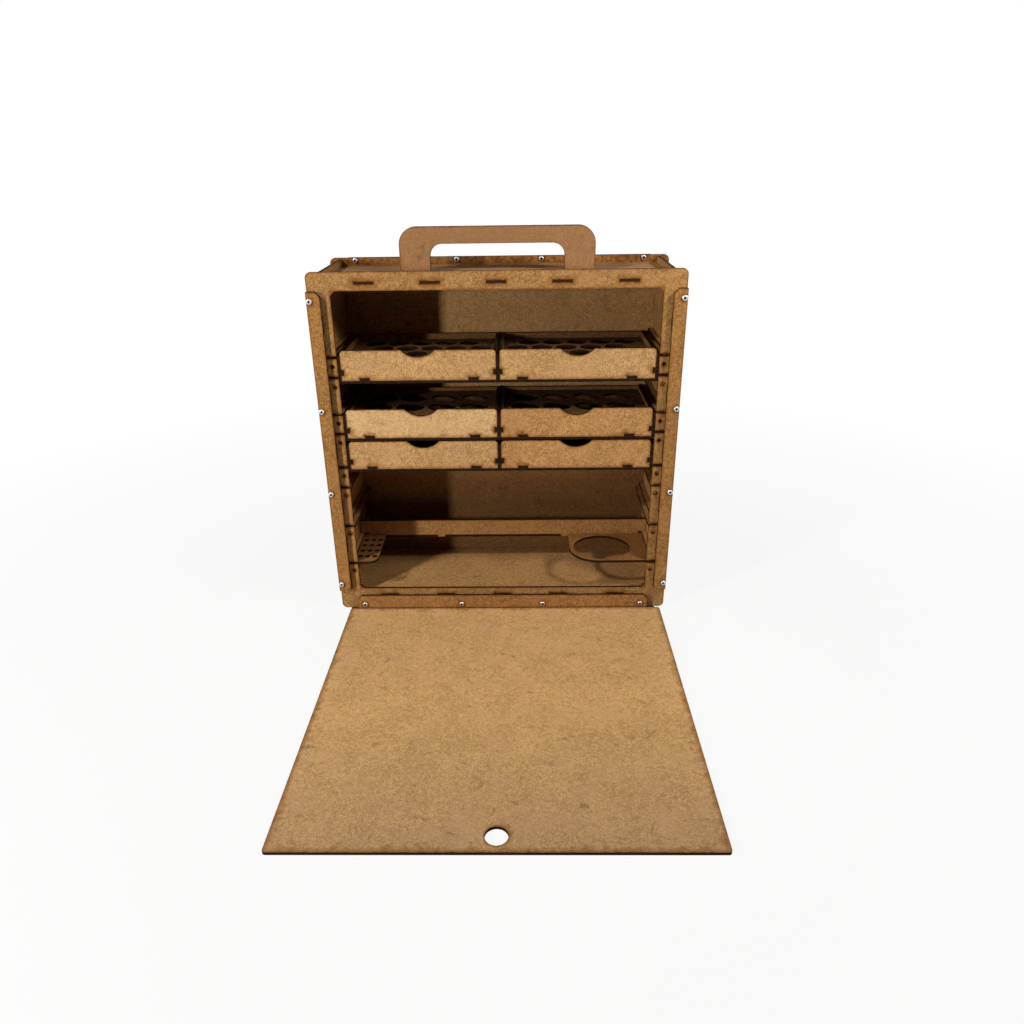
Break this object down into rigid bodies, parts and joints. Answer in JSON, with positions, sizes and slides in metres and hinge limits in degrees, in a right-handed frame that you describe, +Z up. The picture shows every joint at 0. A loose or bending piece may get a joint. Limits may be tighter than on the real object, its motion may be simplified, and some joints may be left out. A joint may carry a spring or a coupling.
{
  "type": "hobby organizer case",
  "caption": "Open-fronted carry case of slotted fibreboard with a handle, sliding shelves of small drawers, paint racks, a tool shelf and a loose front board.",
  "frame": {"origin": "middle of the front frame's bottom edge, on the table", "axes": "+X to the right as the open front is seen, +Y into the case, +Z up"},
  "size_m": [0.4, 0.5137, 0.4447],
  "materials": {
    "case_board": "raw laser-cut fibreboard, dark edges",
    "strip_board": "raw laser-cut fibreboard, dark edges",
    "shelf_board": "raw laser-cut fibreboard, dark edges",
    "drawer_board": "raw laser-cut fibreboard, dark edges",
    "cover_board": "raw laser-cut fibreboard, dark edges",
    "zinc_steel": "bright zinc plate"
  },
  "bodies": {
    "case": {"front_frame": "case_board", "back_panel": "case_board", "top_panel": "case_board", "bottom_panel": "case_board", "left_side_panel": "case_board", "right_side_panel": "case_board", "left_rails": "case_board", "right_rails": "case_board", "handle": "case_board", "left_front_strip": "strip_board", "right_front_strip": "strip_board", "bottom_front_strip": "strip_board", "rear_top_strip": "strip_board", "left_channel_board": "strip_board", "right_channel_board": "strip_board", "bottom_channel_board": "strip_board", "front_screws": "zinc_steel", "front_nuts": "zinc_steel", "rear_screws": "zinc_steel", "rear_nuts": "zinc_steel"},
    "upper_shelf": {"upper_shelf_base": "shelf_board", "upper_shelf_end_walls": "shelf_board", "upper_shelf_divider": "shelf_board", "upper_shelf_runners": "shelf_board"},
    "middle_shelf": {"middle_shelf_base": "shelf_board", "middle_shelf_end_walls": "shelf_board", "middle_shelf_divider": "shelf_board", "middle_shelf_runners": "shelf_board"},
    "lower_shelf": {"lower_shelf_base": "shelf_board", "lower_shelf_end_walls": "shelf_board", "lower_shelf_divider": "shelf_board", "lower_shelf_runners": "shelf_board"},
    "upper_left_drawer": {"upper_left_drawer_front": "drawer_board", "upper_left_drawer_walls": "drawer_board", "upper_left_drawer_floor": "drawer_board", "upper_left_paint_rack": "drawer_board"},
    "upper_right_drawer": {"upper_right_drawer_front": "drawer_board", "upper_right_drawer_walls": "drawer_board", "upper_right_drawer_floor": "drawer_board", "upper_right_paint_rack": "drawer_board"},
    "middle_left_drawer": {"middle_left_drawer_front": "drawer_board", "middle_left_drawer_walls": "drawer_board", "middle_left_drawer_floor": "drawer_board", "middle_left_paint_rack": "drawer_board"},
    "middle_right_drawer": {"middle_right_drawer_front": "drawer_board", "middle_right_drawer_walls": "drawer_board", "middle_right_drawer_floor": "drawer_board", "middle_right_paint_rack": "drawer_board"},
    "lower_left_drawer": {"lower_left_drawer_front": "drawer_board", "lower_left_drawer_walls": "drawer_board", "lower_left_drawer_floor": "drawer_board"},
    "lower_right_drawer": {"lower_right_drawer_front": "drawer_board", "lower_right_drawer_walls": "drawer_board", "lower_right_drawer_floor": "drawer_board"},
    "tool_shelf": {"tool_shelf_plate": "shelf_board", "tool_shelf_upright": "shelf_board"},
    "front_board": {"front_board": "cover_board"}
  },
  "joints": [
    {"name": "upper_shelf_slide", "type": "slide", "parent": "case", "child": "upper_shelf", "axis": [0, -1, 0], "range_m": [0, 0.1]},
    {"name": "middle_shelf_slide", "type": "slide", "parent": "case", "child": "middle_shelf", "axis": [0, -1, 0], "range_m": [0, 0.1]},
    {"name": "lower_shelf_slide", "type": "slide", "parent": "case", "child": "lower_shelf", "axis": [0, -1, 0], "range_m": [0, 0.1]},
    {"name": "upper_left_drawer_slide", "type": "slide", "parent": "upper_shelf", "child": "upper_left_drawer", "axis": [0, -1, 0], "range_m": [0, 0.09]},
    {"name": "upper_right_drawer_slide", "type": "slide", "parent": "upper_shelf", "child": "upper_right_drawer", "axis": [0, -1, 0], "range_m": [0, 0.09]},
    {"name": "middle_left_drawer_slide", "type": "slide", "parent": "middle_shelf", "child": "middle_left_drawer", "axis": [0, -1, 0], "range_m": [0, 0.09]},
    {"name": "middle_right_drawer_slide", "type": "slide", "parent": "middle_shelf", "child": "middle_right_drawer", "axis": [0, -1, 0], "range_m": [0, 0.09]},
    {"name": "lower_left_drawer_slide", "type": "slide", "parent": "lower_shelf", "child": "lower_left_drawer", "axis": [0, -1, 0], "range_m": [0, 0.09]},
    {"name": "lower_right_drawer_slide", "type": "slide", "parent": "lower_shelf", "child": "lower_right_drawer", "axis": [0, -1, 0], "range_m": [0, 0.09]},
    {"name": "tool_shelf_slide", "type": "slide", "parent": "case", "child": "tool_shelf", "axis": [0, -1, 0], "range_m": [0, 0.06]},
    {"name": "front_board_slide", "type": "slide", "parent": "case", "child": "front_board", "axis": [0, -1, 0], "range_m": [0, 0.05]}
  ]
}
